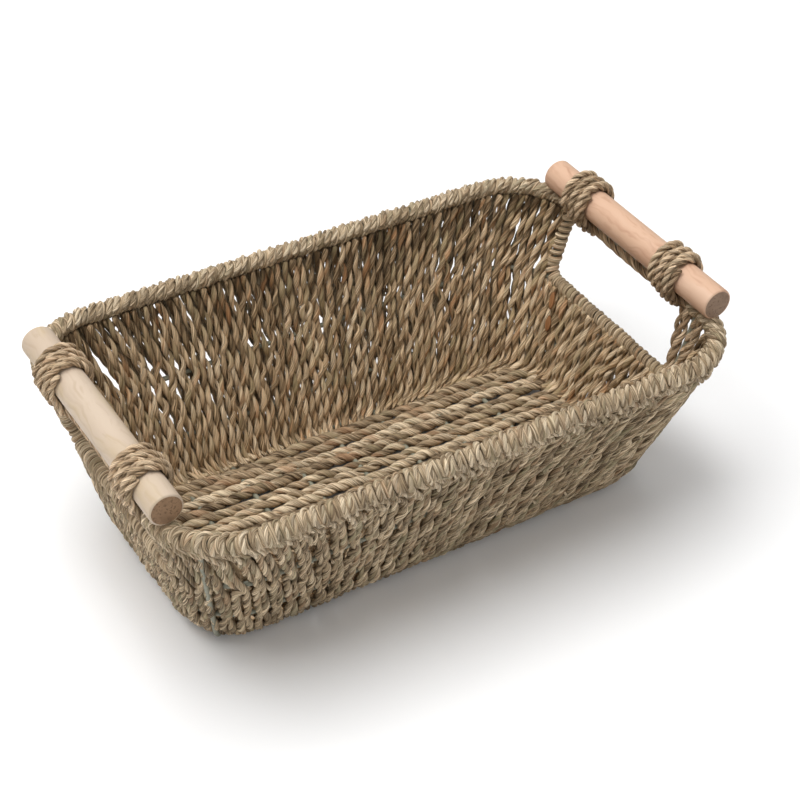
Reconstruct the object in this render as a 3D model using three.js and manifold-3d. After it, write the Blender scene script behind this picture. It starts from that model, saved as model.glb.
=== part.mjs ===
// Bread basket: a welded wire frame covered in woven seagrass cord, with two wooden dowel handles.
// Millimetres, +Z up, origin at the centre of the flat base. X is the length, Y the width.
// The wires pass between the plies of the cords, so each woven solid has channels cut for them.

import * as THREE from 'three';
import { mergeVertices } from 'three/addons/utils/BufferGeometryUtils.js';
import Module from 'manifold-3d';

const wasm = await Module();
wasm.setup();

// ---------------------------------------------------------------- driving dimensions
const overallLength = 304.8;
const overallWidth = 182.9;
const overallHeight = 119.4;
const clearance = 0.3;

const dowelDiameter = 16;
const dowelLength = 131;
const dowelEase = 0.9;

const rimRollDiameter = 8.4;
const rimCornerRadius = 34;
const rimOverhang = 1.4;
const rimWireDiameter = 3;
const frameWireDiameter = 2.6;

const wallThickness = 6;
const baseFlatLength = 229.6;
const baseFlatWidth = 95;
const baseCornerRadius = 18;
const baseRounding = 12;
const wallTuckAngle = 72;
const uprightFootAngle = 50;

const upperHoopHeight = 55;
const lowerHoopHeight = 25;
const baseRingAngle = 58;
const crossWireCount = 7;
const crossWireSpacing = 28;

const handHoleWidth = 104;
const holeRollDiameter = 7.8;
const handleCordDiameter = 6;
const sidePanelInset = 4.8;

const lashingCordDiameter = 3.6;
const lashingWidth = 21;
const leftLashingGaps = { front: 2.5, back: 2 };
const rightLashingGaps = { front: 7.5, back: 3.5 };

const floorRowPitch = 6.1;
const floorCordHeight = 7;
const floorShoulderShare = 0.55;

// ---------------------------------------------------------------- worked-out places
const degree = Math.PI / 180;
const mix = (from, to, share) => from + (to - from) * share;

const dowelRadius = dowelDiameter / 2;
const rimRadius = rimRollDiameter / 2;
const rimWireRadius = rimWireDiameter / 2;
const wireRadius = frameWireDiameter / 2;
const holeRollRadius = holeRollDiameter / 2;
const holeHalf = handHoleWidth / 2;
const halfWall = wallThickness / 2;

const dowelX = overallLength / 2 - dowelRadius;
const dowelZ = overallHeight - lashingCordDiameter - clearance - dowelRadius;
const rimA = dowelX + rimOverhang;
const rimB = overallWidth / 2 - rimRadius;
const rimZ = dowelZ - dowelRadius - clearance - rimRadius;

// The wall leans out from the rounding at its foot; one mean lean serves the sides and the ends.
const footA = baseFlatLength / 2;
const footB = baseFlatWidth / 2;
const middleRounding = baseRounding - halfWall;
const lean = Math.atan2((rimA - footA + rimB - footB) / 2 - middleRounding, rimZ - baseRounding);
const bendZ = baseRounding - middleRounding * Math.sin(lean);
const bendReach = middleRounding * Math.cos(lean);

// ---------------------------------------------------------------- wall surface
// A level is the rounded rectangle of the wall at one height, moved out by w across the wall.
// It has half sizes a and b, corner radius c, its z, and the height of its place in the wall's middle.
function slopeLevel(height, w = 0) {
  const share = (height - bendZ) / (rimZ - bendZ);
  const out = w * Math.cos(lean);
  return {
    a: mix(footA + bendReach, rimA, share) + out,
    b: mix(footB + bendReach, rimB, share) + out,
    c: mix(baseCornerRadius + bendReach, rimCornerRadius, share) + out,
    z: height - w * Math.sin(lean),
    height,
  };
}

// A level on the rounding at the foot, where the wall faces an angle below the horizontal.
function footLevel(angle, w = 0) {
  const reach = (middleRounding + w) * Math.cos(angle);
  return {
    a: footA + reach,
    b: footB + reach,
    c: baseCornerRadius + reach,
    z: baseRounding - (middleRounding + w) * Math.sin(angle),
    height: baseRounding - middleRounding * Math.sin(angle),
  };
}

const endRun = (level) => level.b - level.c;
const bendRun = (level) => (Math.PI / 2) * level.c;

// Point on a level at a distance along it from the middle of the +X end, positive towards +Y.
function levelPoint(level, distance) {
  const { a, b, c, z } = level;
  const side = Math.sign(distance) || 1;
  const run = Math.abs(distance);
  const turn = (run - endRun(level)) / c;
  if (turn <= 0) return new THREE.Vector3(a, side * run, z);
  if (turn <= Math.PI / 2) {
    return new THREE.Vector3(a - c + c * Math.cos(turn), side * (b - c + c * Math.sin(turn)), z);
  }
  return new THREE.Vector3(a - c - (run - endRun(level) - bendRun(level)), side * b, z);
}

// Distance along a level to the place on its long side with this x.
const distanceToSide = (level, x) => endRun(level) + bendRun(level) + level.a - level.c - x;

// Seam between an end panel and a corner panel: upright at the hand hole, drawn in below it.
function endSeam(level) {
  const drop = Math.max(0, upperHoopHeight - level.height) / (upperHoopHeight - bendZ);
  return mix(holeHalf, footB - baseCornerRadius / 2, drop);
}

const mirrored = (point, sx, sy) => new THREE.Vector3(point.x * sx, point.y * sy, point.z);

// ---------------------------------------------------------------- solids
function toSolid(geometry) {
  const plain = geometry.clone();
  plain.deleteAttribute('normal');
  plain.deleteAttribute('uv');
  const merged = mergeVertices(plain, 1e-4);
  const mesh = new wasm.Mesh({
    numProp: 3,
    vertProperties: new Float32Array(merged.attributes.position.array),
    triVerts: new Uint32Array(merged.index.array),
  });
  return new wasm.Manifold(mesh);
}

function toGeometry(solid) {
  const mesh = solid.getMesh();
  const geometry = new THREE.BufferGeometry();
  geometry.setAttribute('position', new THREE.BufferAttribute(new Float32Array(mesh.vertProperties), 3));
  geometry.setIndex(new THREE.BufferAttribute(new Uint32Array(mesh.triVerts), 1));
  geometry.computeVertexNormals();
  return geometry;
}

function cut(geometry, cutters) {
  let solid = toSolid(geometry);
  for (const cutter of cutters) solid = solid.subtract(toSolid(cutter));
  return toGeometry(solid);
}

function join(geometries) {
  let solid = toSolid(geometries[0]);
  for (const other of geometries.slice(1)) solid = solid.add(toSolid(other));
  return toGeometry(solid);
}

// A route whose sections stand at its own points.
class Route extends THREE.Curve {
  constructor(points) {
    super();
    this.points = points;
  }

  getPoint(t) {
    const place = Math.min(Math.max(t, 0), 1) * (this.points.length - 1);
    const i = Math.min(Math.floor(place), this.points.length - 2);
    return this.points[i].clone().lerp(this.points[i + 1], place - i);
  }

  getUtoTmapping(u) {
    return u;
  }
}

function sweep(points, section) {
  return new THREE.ExtrudeGeometry(section, {
    steps: points.length - 1,
    extrudePath: new Route(points),
    bevelEnabled: false,
  });
}

// Reach of the corners of a regular polygon drawn round a circle.
const around = (radius, sides) => radius / Math.cos(Math.PI / sides);

function roundSection(reach, sides) {
  const corners = [];
  for (let i = 0; i < sides; i += 1) {
    const turn = (i + 0.5) * ((2 * Math.PI) / sides);
    corners.push(new THREE.Vector2(reach * Math.cos(turn), reach * Math.sin(turn)));
  }
  return new THREE.Shape(corners);
}

const wireSides = 6;
const rollSides = 8;
const dowelSides = 24;
const lashingBendSteps = 7;
const tube = (points, reach, sides = wireSides) => sweep(points, roundSection(reach, sides));

// The same run with both its ends moved out by spare.
function lengthened(points, spare) {
  const moved = (end, next) => end.clone().add(end.clone().sub(next).setLength(spare));
  return [moved(points[0], points[1]), ...points.slice(1, -1), moved(points.at(-1), points.at(-2))];
}

// Closed panel of the wall: a block of one wall's thickness, bent over the levels from top to foot.
// levelsAt(w) lists its levels; pointOf(level, share) is the place at a share of the way along.
function panel(levelsAt, columns, pointOf) {
  const rows = levelsAt(0).length - 1;
  const block = new THREE.BoxGeometry(1, 1, 1, columns, rows, 1);
  const corners = block.attributes.position;
  for (let i = 0; i < corners.count; i += 1) {
    const row = Math.round((0.5 - corners.getY(i)) * rows);
    const level = levelsAt(corners.getZ(i) * wallThickness)[row];
    const point = pointOf(level, corners.getX(i) + 0.5);
    corners.setXYZ(i, point.x, point.y, point.z);
  }
  return block;
}

// Levels of a panel whose top is at the height given: down the slope, then round the foot.
function panelLevels(heights) {
  const footSteps = 3;
  return (w) => {
    const levels = heights.map((height) => slopeLevel(height, w));
    for (let i = 0; i <= footSteps; i += 1) {
      levels.push(footLevel(mix(lean, wallTuckAngle * degree, i / footSteps), w));
    }
    return levels;
  };
}

// ---------------------------------------------------------------- wire frame
const bendSteps = 4;

// Places along a level from one distance to another, with a stop at each step round the bend.
function stops(level, from, to) {
  const places = [from];
  for (let i = 0; i <= bendSteps; i += 1) {
    const place = endRun(level) + (bendRun(level) * i) / bendSteps;
    if (place > from + clearance && place < to - clearance) places.push(place);
  }
  return [...places, to];
}

// Run along a level in one quarter of the basket.
function quarterRun(level, from, to, sx, sy) {
  return stops(level, from, to).map((place) => mirrored(levelPoint(level, place), sx, sy));
}

// Run along a level across one end, reaching half to each side of the middle.
function endRoute(level, half, sx) {
  const quarter = stops(level, 0, half);
  const places = [...quarter.slice(1).reverse().map((place) => -place), ...quarter];
  return places.map((place) => mirrored(levelPoint(level, place), sx, 1));
}

// Half of a closed hoop, from the middle of the front round one end to the middle of the back.
function halfHoop(level, sx) {
  const quarter = distanceToSide(level, 0);
  const front = quarterRun(level, 0, quarter, sx, -1).slice(1).reverse();
  return [...front, ...quarterRun(level, 0, quarter, sx, 1)];
}

// A closed hoop: two halves that meet in the long sides, with a short straight sleeve over each joint.
function hoop(level, reach) {
  const sleeveHalf = 2;
  const parts = [tube(halfHoop(level, 1), reach), tube(halfHoop(level, -1), reach)];
  for (const y of [-level.b, level.b]) {
    const ends = [-sleeveHalf, sleeveHalf].map((x) => new THREE.Vector3(x, y, level.z));
    parts.push(tube(ends, reach));
  }
  return join(parts);
}

// Corner upright: down the outside of the hoops, half-way round the bend, from the rim roll to the foot.
function uprightRoute(sx, sy) {
  const out = 2 * wireRadius + clearance;
  const top = rimZ - rimRadius - clearance - wireRadius;
  const levels = [top, mix(bendZ, rimZ, 0.5), bendZ].map((height) => slopeLevel(height, out));
  for (const share of [0.5, 1]) {
    levels.push(footLevel(mix(lean, uprightFootAngle * degree, share), out));
  }
  return levels.map((level) => {
    return mirrored(levelPoint(level, endRun(level) + bendRun(level) / 2), sx, sy);
  });
}

// Post beside the hand hole, standing on the upper hoop under the rim wire.
function postRoute(sx, sy) {
  const foot = slopeLevel(upperHoopHeight + wireRadius + 2 * clearance);
  const head = slopeLevel(rimZ - rimWireRadius - 2 * clearance);
  return [foot, head].map((level) => mirrored(levelPoint(level, holeHalf), sx, sy));
}

// Base wire under the floor, ending just inside the base ring.
function crossWireRoute(x) {
  const reach = baseRingLevel.b - wireRadius - clearance;
  return [-reach, reach].map((y) => new THREE.Vector3(x, y, baseRingLevel.z));
}

const rimLevel = slopeLevel(rimZ);
const upperLevel = slopeLevel(upperHoopHeight);
const lowerLevel = slopeLevel(lowerHoopHeight);
const baseRingLevel = footLevel(baseRingAngle * degree);
const crossWireXs = Array.from(
  { length: crossWireCount },
  (unused, i) => (i - (crossWireCount - 1) / 2) * crossWireSpacing,
);

// ---------------------------------------------------------------- channels for the wires
const channelReach = around(wireRadius + clearance, wireSides);
const crossChannelSides = 4;
const crossChannelReach = around(wireRadius + clearance, crossChannelSides);
const rimChannel = hoop(rimLevel, around(rimWireRadius + clearance, wireSides));
const upperChannel = hoop(upperLevel, channelReach);
const lowerChannel = hoop(lowerLevel, channelReach);
const baseChannel = hoop(baseRingLevel, channelReach);
const crossChannels = crossWireXs.map((x) => {
  return tube(lengthened(crossWireRoute(x), clearance), crossChannelReach, crossChannelSides);
});
const postChannel = (sx, sy) => tube(lengthened(postRoute(sx, sy), clearance), channelReach);
const uprightChannel = (sx, sy) => tube(lengthened(uprightRoute(sx, sy), clearance), channelReach);

// ---------------------------------------------------------------- woven walls
const wallTop = rimZ - rimRadius - clearance;
const endTop = upperHoopHeight - holeRollRadius - clearance;
const sideHalf = footA - baseCornerRadius - sidePanelInset;
const seamHalf = clearance / 2;
const endColumns = 6;
const cornerColumns = 6;

function sidePanel(sy) {
  const half = sideHalf - seamHalf;
  const pointOf = (level, share) => new THREE.Vector3(-sy * mix(-half, half, share), sy * level.b, level.z);
  const block = panel(panelLevels([wallTop, upperHoopHeight]), 1, pointOf);
  return cut(block, [upperChannel, lowerChannel, baseChannel, ...crossChannels]);
}

function endPanel(sx) {
  const pointOf = (level, share) => {
    const half = endSeam(level) - seamHalf;
    return mirrored(levelPoint(level, sx * mix(-half, half, share)), sx, 1);
  };
  const block = panel(panelLevels([endTop]), endColumns, pointOf);
  return cut(block, [lowerChannel, baseChannel]);
}

function cornerPanel(sx, sy) {
  const pointOf = (level, share) => {
    const start = endSeam(level) + seamHalf;
    const end = distanceToSide(level, sideHalf + seamHalf);
    return mirrored(levelPoint(level, sx * sy > 0 ? mix(start, end, share) : mix(end, start, share)), sx, sy);
  };
  const block = panel(panelLevels([wallTop, upperHoopHeight]), cornerColumns, pointOf);
  const rollRooms = [postRollRoute(sx, sy, clearance), sillRollRoute(sx, clearance)].map((route) => {
    return tube(route, around(holeRollRadius + clearance, rollSides), rollSides);
  });
  const wireRooms = [uprightChannel(sx, sy), postChannel(sx, sy)];
  return cut(block, [upperChannel, lowerChannel, baseChannel, ...rollRooms, ...wireRooms]);
}

// ---------------------------------------------------------------- wrapped edges
function rimSideRoll(sy) {
  const half = sideHalf - seamHalf;
  const ends = [-half, half].map((x) => new THREE.Vector3(x, sy * rimLevel.b, rimLevel.z));
  return cut(tube(ends, rimRadius, rollSides), [rimChannel]);
}

const rimRollStart = holeHalf - holeRollRadius;

function rimCornerRoll(sx, sy) {
  const end = distanceToSide(rimLevel, sideHalf + seamHalf);
  const route = quarterRun(rimLevel, rimRollStart, end, sx, sy);
  return cut(tube(route, rimRadius, rollSides), [rimChannel, postChannel(sx, sy)]);
}

function handleCord(sx) {
  const route = endRoute(rimLevel, rimRollStart - clearance, sx);
  return cut(tube(route, handleCordDiameter / 2, rollSides), [rimChannel]);
}

// The sill's roll follows the upper hoop from post to post; spare lengthens both ends.
const sillRollRoute = (sx, spare = 0) => endRoute(upperLevel, holeHalf - seamHalf + spare, sx);

function sillRoll(sx) {
  const postRooms = [-1, 1].map((sy) => postChannel(sx, sy));
  return cut(tube(sillRollRoute(sx), holeRollRadius, rollSides), [upperChannel, ...postRooms]);
}

// The post's roll stands on the bottom roll and stops under the lashings; spare lengthens both ends.
function postRollRoute(sx, sy, spare = 0) {
  const foot = upperHoopHeight + holeRollRadius + clearance - spare;
  const head = rimZ - rimRadius - 2 * clearance - lashingCordDiameter + spare;
  return [foot, head].map((height) => mirrored(levelPoint(slopeLevel(height), holeHalf), sx, sy));
}

function postRoll(sx, sy) {
  const roll = tube(postRollRoute(sx, sy), holeRollRadius, rollSides);
  return cut(roll, [postChannel(sx, sy), upperChannel]);
}

// ---------------------------------------------------------------- handles
function dowel() {
  const half = dowelLength / 2;
  const profile = [
    [0, -half],
    [dowelRadius - dowelEase, -half],
    [dowelRadius, -half + dowelEase],
    [dowelRadius, half - dowelEase],
    [dowelRadius - dowelEase, half],
    [0, half],
  ].map(([x, y]) => new THREE.Vector2(x, y));
  return new THREE.LatheGeometry(profile, dowelSides);
}

// Outline round two circles one above the other, the lower one moved sideways by shift.
function aroundTwo(Kind, upperRadius, lowerRadius, shift, drop) {
  const span = Math.hypot(shift, drop);
  const axis = Math.atan2(-drop, shift);
  const spread = Math.acos((upperRadius - lowerRadius) / span);
  const outline = new Kind();
  outline.absarc(0, 0, upperRadius, axis + spread, axis - spread + 2 * Math.PI, false);
  outline.absarc(shift, -drop, lowerRadius, axis - spread, axis + spread, false);
  return outline;
}

// Lashing: turns of cord laid side by side round the dowel and the rim.
function lashing(sx) {
  const inner = [dowelRadius + clearance, rimRadius + clearance];
  const outer = inner.map((radius) => radius + lashingCordDiameter);
  const shift = sx * rimOverhang;
  const drop = dowelZ - rimZ;
  const shape = aroundTwo(THREE.Shape, outer[0], outer[1], shift, drop);
  shape.holes.push(aroundTwo(THREE.Path, inner[0], inner[1], shift, drop));
  return new THREE.ExtrudeGeometry(shape, {
    depth: lashingWidth,
    bevelEnabled: false,
    curveSegments: lashingBendSteps,
  });
}

// ---------------------------------------------------------------- floor
// Plan of the floor, inside the tucked foot of the wall.
const floorLevel = footLevel(wallTuckAngle * degree, -halfWall - clearance);
const floorHairpinCount = Math.floor(floorLevel.b / floorRowPitch);

// Furthest x of the floor's plan at this y.
function floorReach(y) {
  const past = Math.abs(y) - endRun(floorLevel);
  if (past <= 0) return floorLevel.a;
  return floorLevel.a - floorLevel.c + Math.sqrt(floorLevel.c ** 2 - past ** 2);
}

// Section of a floor cord: flat under and over, rounded at the shoulders.
function floorSection() {
  const high = floorCordHeight / 2;
  const wide = (floorRowPitch - clearance) / 2;
  const shoulder = wide * floorShoulderShare;
  const corners = [];
  for (const [sx, sy] of [[1, 1], [-1, 1], [-1, -1], [1, -1]]) {
    const pair = [
      new THREE.Vector2(sx * high, sy * (wide - shoulder)),
      new THREE.Vector2(sx * (high - shoulder), sy * wide),
    ];
    corners.push(...(sx * sy > 0 ? pair : pair.reverse()));
  }
  return new THREE.Shape(corners);
}

// Two neighbouring rows of one cord, joined by its turn at one end and open at the other.
function floorHairpin(index) {
  const y = (index - (floorHairpinCount - 1) / 2) * 2 * floorRowPitch;
  const sx = index % 2 === 0 ? 1 : -1;
  const half = floorRowPitch / 2;
  const outerEdge = Math.abs(y) + floorRowPitch - clearance / 2;
  const turnX = floorReach(outerEdge) - floorRowPitch;
  const openX = floorReach(outerEdge) - clearance;
  const z = floorCordHeight / 2;
  const turnSteps = 4;
  const points = [new THREE.Vector3(-sx * openX, y - half, z)];
  for (let i = 0; i <= turnSteps; i += 1) {
    const turn = mix(-Math.PI / 2, Math.PI / 2, i / turnSteps);
    points.push(new THREE.Vector3(sx * (turnX + half * Math.cos(turn)), y + half * Math.sin(turn), z));
  }
  points.push(new THREE.Vector3(-sx * openX, y + half, z));
  return cut(sweep(points, floorSection()), crossChannels);
}

// ---------------------------------------------------------------- finishes
const finish = (color, roughness, metalness = 0) => () => {
  return new THREE.MeshStandardMaterial({ color, roughness, metalness });
};

const seagrass = finish(0x9c8a66, 0.85);
const rimSeagrass = finish(0xb3a27c, 0.8);
const floorSeagrass = finish(0xa39069, 0.85);
const lashingCord = finish(0xa8926a, 0.8);
const paleWood = finish(0xe6cfb4, 0.6);
const pinkWood = finish(0xd6b190, 0.6);
const coatedWire = finish(0x8b9486, 0.5, 0.2);

// ---------------------------------------------------------------- assembly
const basket = new THREE.Group();

function add(parent, name, geometry, material, position = [0, 0, 0], rotation = [0, 0, 0]) {
  const mesh = new THREE.Mesh(geometry, material());
  mesh.name = name;
  mesh.position.set(...position);
  mesh.rotation.set(...rotation);
  parent.add(mesh);
}

const ends = { left: -1, right: 1 };
const sides = { front: -1, back: 1 };

function addFrame() {
  const frame = new THREE.Group();
  add(frame, 'rim_wire', hoop(rimLevel, rimWireRadius), coatedWire);
  add(frame, 'upper_hoop_wire', hoop(upperLevel, wireRadius), coatedWire);
  add(frame, 'lower_hoop_wire', hoop(lowerLevel, wireRadius), coatedWire);
  add(frame, 'base_ring_wire', hoop(baseRingLevel, wireRadius), coatedWire);
  crossWireXs.forEach((x, i) => {
    add(frame, `base_cross_wire_${i + 1}`, tube(crossWireRoute(x), wireRadius), coatedWire);
  });
  for (const [end, sx] of Object.entries(ends)) {
    for (const [side, sy] of Object.entries(sides)) {
      add(frame, `corner_upright_${end}_${side}`, tube(uprightRoute(sx, sy), wireRadius), coatedWire);
      add(frame, `hand_hole_post_${end}_${side}`, tube(postRoute(sx, sy), wireRadius), coatedWire);
    }
  }
  basket.add(frame);
}

function addWalls() {
  const walls = new THREE.Group();
  for (const [side, sy] of Object.entries(sides)) {
    add(walls, `woven_wall_${side}`, sidePanel(sy), seagrass);
    add(walls, `rim_wrap_${side}`, rimSideRoll(sy), rimSeagrass);
  }
  for (const [end, sx] of Object.entries(ends)) {
    add(walls, `woven_end_${end}`, endPanel(sx), seagrass);
    add(walls, `hand_hole_sill_wrap_${end}`, sillRoll(sx), rimSeagrass);
    for (const [side, sy] of Object.entries(sides)) {
      add(walls, `woven_corner_${end}_${side}`, cornerPanel(sx, sy), seagrass);
      add(walls, `rim_wrap_corner_${end}_${side}`, rimCornerRoll(sx, sy), rimSeagrass);
      add(walls, `hand_hole_post_wrap_${end}_${side}`, postRoll(sx, sy), rimSeagrass);
    }
  }
  basket.add(walls);
}

function addFloor() {
  const floor = new THREE.Group();
  for (let i = 0; i < floorHairpinCount; i += 1) {
    add(floor, `floor_cord_${i + 1}`, floorHairpin(i), floorSeagrass);
  }
  basket.add(floor);
}

// The lashings sit between the posts, each with its own gap to the post beside it.
function addHandle(end, sx, gaps, wood) {
  const handle = new THREE.Group();
  handle.position.set(sx * dowelX, 0, dowelZ);
  add(handle, `dowel_${end}`, dowel(), wood);
  for (const [side, gap] of Object.entries(gaps)) {
    const y = sides[side] * (holeHalf - gap - lashingWidth / 2);
    const place = [0, y + lashingWidth / 2, 0];
    add(handle, `lashing_${end}_${side}`, lashing(sx), lashingCord, place, [Math.PI / 2, 0, 0]);
  }
  basket.add(handle);
  add(basket, `rim_cord_${end}`, handleCord(sx), lashingCord);
}

addFrame();
addWalls();
addFloor();
addHandle('left', ends.left, leftLashingGaps, paleWood);
addHandle('right', ends.right, rightLashingGaps, pinkWood);

export default basket;
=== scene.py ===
"""Looks of a seagrass bread basket: twisted cords woven on a wire frame, with two lashed dowels.

Everything is in metres, +Z up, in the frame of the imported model.
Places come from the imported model's boxes; each piece is a surface worked out with numpy.
"""

import bpy
import numpy as np
from bpy.props import FloatProperty, FloatVectorProperty, IntProperty, PointerProperty
from mathutils import Matrix, Vector


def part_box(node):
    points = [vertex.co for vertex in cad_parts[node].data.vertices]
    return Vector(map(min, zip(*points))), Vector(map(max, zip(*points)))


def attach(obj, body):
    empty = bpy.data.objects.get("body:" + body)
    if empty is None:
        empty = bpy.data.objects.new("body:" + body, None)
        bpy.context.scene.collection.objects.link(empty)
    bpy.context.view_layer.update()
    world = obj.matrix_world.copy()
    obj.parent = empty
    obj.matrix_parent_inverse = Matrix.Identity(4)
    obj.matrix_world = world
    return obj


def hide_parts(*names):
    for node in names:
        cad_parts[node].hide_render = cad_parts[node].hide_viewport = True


bl_info = {
    "name": "Seagrass Bread Basket",
    "version": (1, 0, 0),
    "blender": (4, 5, 0),
    "location": "View3D > Sidebar > Basket",
    "description": "Builds the cords, wires, dowels and lashings of a woven seagrass basket",
    "category": "Object",
}

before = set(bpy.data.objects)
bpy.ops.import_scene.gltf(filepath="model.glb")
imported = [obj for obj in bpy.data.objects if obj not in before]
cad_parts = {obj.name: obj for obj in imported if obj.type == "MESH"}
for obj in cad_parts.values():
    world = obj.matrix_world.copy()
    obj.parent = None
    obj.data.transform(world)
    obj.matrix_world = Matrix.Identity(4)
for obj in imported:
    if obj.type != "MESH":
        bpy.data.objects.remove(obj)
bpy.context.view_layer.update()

ENDS = {"left": -1.0, "right": 1.0}
SIDES = {"front": -1.0, "back": 1.0}
UP = np.array([0.0, 0.0, 1.0])


def node_box(node):
    """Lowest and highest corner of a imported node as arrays."""
    low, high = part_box(node)
    return np.array(low), np.array(high)


def hoop_sizes(node):
    """(half length, half width, height, wire radius) of a hoop, from the box of its six-sided wire.

    The wire is flat above and below, so its radius is half its height over cos 30 degrees."""
    low, high = node_box(node)
    radius = (high[2] - low[2]) / 2 / np.cos(np.pi / 6)
    return high[0] - radius, high[1] - radius, (high[2] + low[2]) / 2, radius


RIM_A, RIM_B, RIM_Z, RIM_WIRE = hoop_sizes("rim_wire")
UPPER_Z = hoop_sizes("upper_hoop_wire")[2]
LOWER_Z = hoop_sizes("lower_hoop_wire")[2]
RING_Z = hoop_sizes("base_ring_wire")[2]
HOOP_WIRE = hoop_sizes("upper_hoop_wire")[3]
POST_Y = float(np.mean([node_box("hand_hole_post_wrap_right_back")[i][1] for i in (0, 1)]))


# ------------------------------------------------------------------ settings
def length(name, default, description):
    """A setting that is a length in metres."""
    return FloatProperty(name=name, description=description, default=default, unit="LENGTH")


def angle(name, degrees, description):
    """A setting that is an angle, given in degrees."""
    return FloatProperty(name=name, description=description, default=np.radians(degrees), subtype="ANGLE")


class BasketShapeSettings(bpy.types.PropertyGroup):
    """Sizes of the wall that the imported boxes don't give."""

    foot_length: length("Flat Length", 0.2296, "Length of the flat under the basket")
    foot_width: length("Flat Width", 0.095, "Width of the flat under the basket")
    foot_corner: length("Flat Corner", 0.018, "Corner radius of the flat under the basket")
    rim_corner: length("Rim Corner", 0.034, "Corner radius of the rim")
    rounding: length("Foot Rounding", 0.009, "Radius of the rounding at the foot, in the wall's middle")
    rounding_height: length("Rounding Height", 0.012, "Height of the centre of the foot's rounding")
    tuck: angle("Tuck Angle", 80.0, "How far the wall turns under at its foot")


class WallSettings(bpy.types.PropertyGroup):
    """Ropes outside the wall and cords inside it."""

    rope_pitch: length("Rope Pitch", 0.0079, "Distance between the ropes outside the wall")
    rope_ply: length("Rope Ply Radius", 0.00090, "Radius of one ply of an outside rope")
    rope_lay: length("Rope Lay", 0.0235, "Length of one full twist of an outside rope")
    rope_gap: length("Rope Half Gap", 0.00185, "How far the two ropes of a pair stand from the pair's middle")
    cord_ply: length("Cord Ply Radius", 0.00104, "Radius of one ply of an inside cord")
    cord_lay: length("Cord Lay", 0.021, "Length of one full twist of an inside cord")


class RimSettings(bpy.types.PropertyGroup):
    """Loops over the rim and round the edges of the hand holes."""

    loop_pitch: length("Loop Pitch", 0.0023, "Distance between the loops over the rim")
    loop_ply: length("Loop Radius", 0.00122, "Half width of a loop's strand")
    strand_pitch: length("Strand Pitch", 0.0045, "Distance between the bolder strands over the rim")
    strand_ply: length("Strand Ply Radius", 0.00090, "Radius of one ply of a bolder strand")
    strand_lay: length("Strand Lay", 0.0115, "Length of one full twist of a bolder strand")
    coil_pitch: length("Coil Pitch", 0.0034, "Distance between the coils round a hand hole's edge")
    coil_ply: length("Coil Radius", 0.00145, "Half width of a coil's strand")


class FloorSettings(bpy.types.PropertyGroup):
    """Cords of the floor."""

    ply: length("Ply Radius", 0.00160, "Radius of one ply of a floor cord")
    lay: length("Lay", 0.0172, "Length of one full twist of a floor cord")
    under_step: length("Under Step", 0.0030, "Sideways distance from a row to the row under it")
    under_drop: length("Under Drop", -0.0020, "Height of the under row against the row above")
    sway: length("Sway", 0.0005, "How far a floor cord rises and dips at the cross wires")


class HandleSettings(bpy.types.PropertyGroup):
    """Dowels and lashings."""

    cord_ply: length("Lashing Ply Radius", 0.00092, "Radius of one ply of a lashing's cord")
    turns: IntProperty(name="Lashing Turns", default=6,
                       description="Turns of cord side by side in a lashing")
    pale_wood: FloatVectorProperty(name="Left Dowel", subtype="COLOR", default=(0.55, 0.44, 0.335),
                                   description="Colour of the left dowel")
    tan_wood: FloatVectorProperty(name="Right Dowel", subtype="COLOR", default=(0.62, 0.395, 0.265),
                                  description="Colour of the right dowel")


class StageSettings(bpy.types.PropertyGroup):
    """Camera: its direction, height, roll, distance, lens and target."""

    azimuth: angle("Azimuth", -33.2, "Direction of the camera round the basket")
    elevation: angle("Elevation", 39.2, "Height of the camera above the horizon")
    roll: angle("Roll", 2.3, "Turn of the camera about its own axis")
    distance: length("Distance", 0.9189, "Distance from the camera to its target")
    lens: FloatProperty(name="Lens", default=85.757, description="Focal length in millimetres")
    target: FloatVectorProperty(name="Target", subtype="TRANSLATION", default=(0.0102, 0.0001, 0.0569),
                                description="Point that the camera looks at")


SETTINGS = {
    "basket_shape": BasketShapeSettings,
    "basket_wall": WallSettings,
    "basket_rim": RimSettings,
    "basket_floor": FloorSettings,
    "basket_handle": HandleSettings,
    "basket_stage": StageSettings,
}


# ------------------------------------------------------------------ vectors and wander
def unit(vectors):
    """Each vector divided by its own length."""
    return vectors / np.maximum(np.linalg.norm(vectors, axis=-1, keepdims=True), 1e-12)


def wander(rng, cords, stations, knots, amount):
    """Gentle wander along each cord: random heights at even knots, joined by the ease 3s^2 - 2s^3."""
    values = rng.uniform(-1, 1, (cords, knots + 1))
    place = np.linspace(0, knots, stations)
    knot = np.minimum(place.astype(int), knots - 1)
    share = place - knot
    share = share * share * (3 - 2 * share)
    return amount * (values[:, knot] * (1 - share) + values[:, knot + 1] * share)


def run_lengths(paths):
    """Distance along each path to each of its points."""
    steps = np.linalg.norm(np.diff(paths, axis=1), axis=-1)
    return np.concatenate([np.zeros((len(paths), 1)), np.cumsum(steps, axis=1)], axis=1)


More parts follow.
